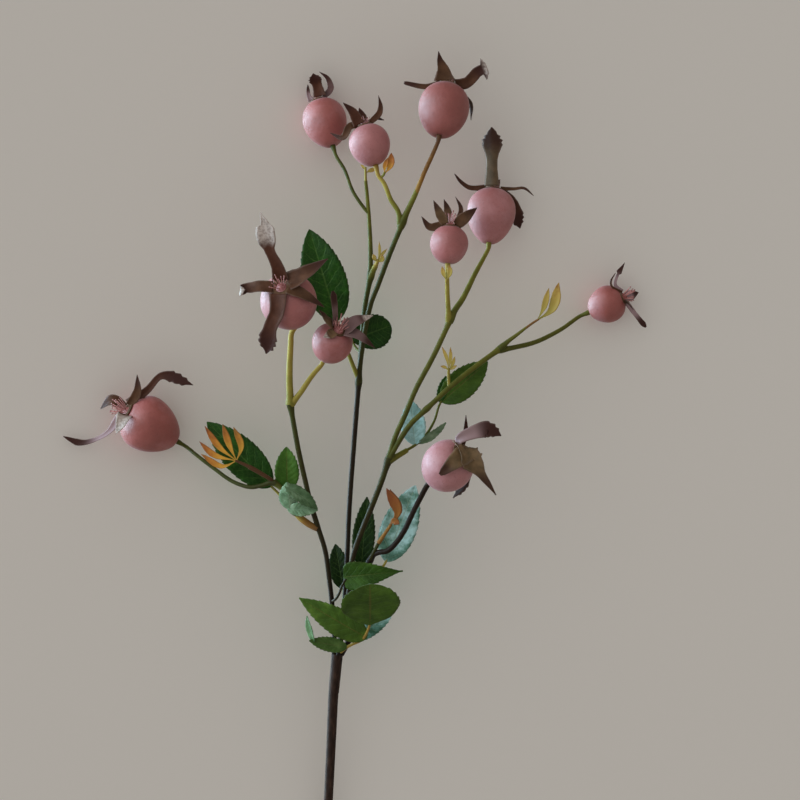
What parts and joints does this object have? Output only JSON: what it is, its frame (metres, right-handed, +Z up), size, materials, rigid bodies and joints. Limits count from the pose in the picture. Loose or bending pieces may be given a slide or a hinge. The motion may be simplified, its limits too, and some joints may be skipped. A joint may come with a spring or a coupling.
{
  "type": "rose hip sprig",
  "caption": "Cut sprig of pink rose hips on forked shoots with toothed leaflets, dried sepals and young yellow shoots, lying down, for decoration or arranging.",
  "frame": {"origin": "centre of the bounding box, on the surface that the sprig lies on", "axes": "+Y along the stem towards the top hips, +Z up from the surface, +X to the right seen from above"},
  "size_m": [0.2356, 0.3448, 0.0663],
  "materials": {
    "stem": "dark bark, satin",
    "branch": "olive green bark, satin",
    "hip": "satin fruit skin",
    "calyx": "dry, matte",
    "leaf": "satin leaf face",
    "leaf_underside": "silvery leaf underside, matte",
    "young_shoot": "waxy orange",
    "young_bract": "waxy yellow-green"
  },
  "bodies": {
    "root": {"main_stem": "stem", "left_branch": "branch", "centre_branch": "branch", "right_branch": "branch", "low_branch": "branch", "hip_top_left": "hip", "hip_top_mid": "hip", "hip_top_right": "hip", "hip_right_large": "hip", "hip_right_small": "hip", "hip_mid_left_large": "hip", "hip_mid_left_small": "hip", "hip_far_right": "hip", "hip_left": "hip", "hip_low_right": "hip", "calyx_top_left": "calyx", "calyx_top_mid": "calyx", "calyx_top_right": "calyx", "calyx_right_large": "calyx", "calyx_right_small": "calyx", "calyx_mid_left_large": "calyx", "calyx_mid_left_small": "calyx", "calyx_far_right": "calyx", "calyx_left": "calyx", "calyx_low_right": "calyx", "leaf_centre_left": "leaf", "leaf_centre_right": "leaf", "leaf_left": "leaf", "leaf_right": "leaf", "leaf_mid": "leaf", "leaf_mid_left": "leaf", "leaf_mid_right": "leaf", "leaf_base": "leaf", "leaf_left_folded": "leaf_underside", "leaf_low": "leaf_underside", "leaf_base_back": "leaf_underside", "shoot_left": "young_shoot", "shoot_low": "young_shoot", "bract_top": "young_shoot", "shoot_centre": "young_bract", "shoot_top": "young_bract", "bract_right": "young_bract", "shoot_right_tip": "young_bract", "shoot_right": "young_bract"}
  },
  "joints": []
}
